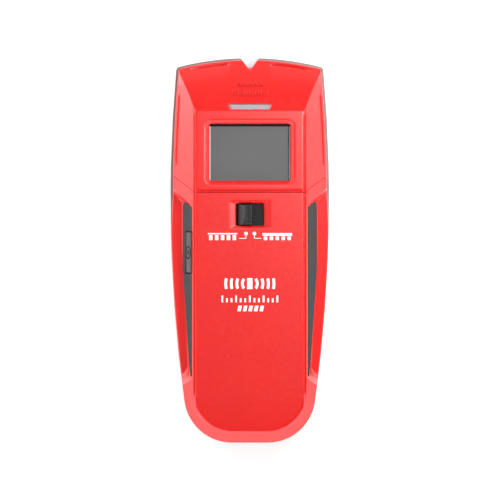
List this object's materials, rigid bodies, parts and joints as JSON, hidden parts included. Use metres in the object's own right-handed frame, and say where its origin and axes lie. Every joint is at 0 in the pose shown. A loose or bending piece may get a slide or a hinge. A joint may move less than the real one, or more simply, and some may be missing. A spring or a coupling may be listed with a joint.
{
  "type": "stud finder",
  "caption": "Hand-held wall stud finder with display window, slide switch, side scan key, rubber grips, pencil notch and battery door.",
  "frame": {"origin": "middle of the footprint, on the plane of the glide pads on the back", "axes": "+Z out of the front face, +Y towards the notched head, +X to the right seen from the front"},
  "size_m": [0.066, 0.16, 0.03],
  "materials": {
    "red_plastic": "fine satin texture",
    "grey_plastic": "fine matt texture",
    "grip_rubber": "fine cross-hatched",
    "key_plastic": "satin",
    "knob_plastic": "satin",
    "felt": "short felt",
    "clear_window": "polished",
    "display_glass": "glossy grey, blank",
    "light_plastic": "frosted",
    "white_plastic": "satin",
    "black_plastic": "satin",
    "red_lead_plastic": "satin",
    "pink_rubber": "matt",
    "circuit_board": "solder mask",
    "steel": "plated",
    "copper": "plated",
    "capacitor_sleeve": "glossy sleeve",
    "battery_jacket": "printed jacket, blank"
  },
  "bodies": {
    "housing": {"upper_front_shell": "red_plastic", "lower_front_shell": "red_plastic", "rear_shell": "grey_plastic", "left_grip": "grip_rubber", "right_grip": "grip_rubber", "glide_pads": "felt", "display_lens": "clear_window", "lcd_glass": "display_glass", "light_window": "light_plastic", "lcd_frame": "white_plastic", "backlight": "white_plastic", "ribbon_connectors": "white_plastic", "ribbon_cable": "white_plastic", "indicator_leds": "white_plastic", "display_gasket": "black_plastic", "controller_chip": "black_plastic", "buzzer_case": "black_plastic", "amplifier_chips": "black_plastic", "chip_resistors": "black_plastic", "battery_snap": "black_plastic", "black_lead": "black_plastic", "red_lead": "red_lead_plastic", "contact_strips": "pink_rubber", "main_board": "circuit_board", "sensor_board": "circuit_board", "shell_screws": "steel", "board_screws": "steel", "crystal": "steel", "key_switch_body": "steel", "slide_switch_body": "steel", "battery_terminals": "steel", "sensor_electrodes": "copper", "buzzer_disc": "copper", "capacitors": "capacitor_sleeve", "battery_case": "battery_jacket"},
    "mode_switch": {"mode_knob": "knob_plastic", "slide_switch_lever": "white_plastic"},
    "key": {"scan_key": "key_plastic", "key_plunger": "black_plastic"},
    "door": {"battery_door": "grey_plastic", "door_pad": "black_plastic"}
  },
  "joints": [
    {"name": "mode_slide", "type": "slide", "parent": "housing", "child": "mode_switch", "axis": [1, 0, 0], "range_m": [0, 0.0044]},
    {"name": "key_press", "type": "slide", "parent": "housing", "child": "key", "axis": [1, 0, 0], "range_m": [0, 0.0008], "stiffness_N_per_m": 600, "springref_m": -0.0005},
    {"name": "door_swing", "type": "hinge", "parent": "housing", "child": "door", "pos_m": [0, -0.0672, 0.0019], "axis": [-1, 0, 0], "range_deg": [0, 95]}
  ]
}
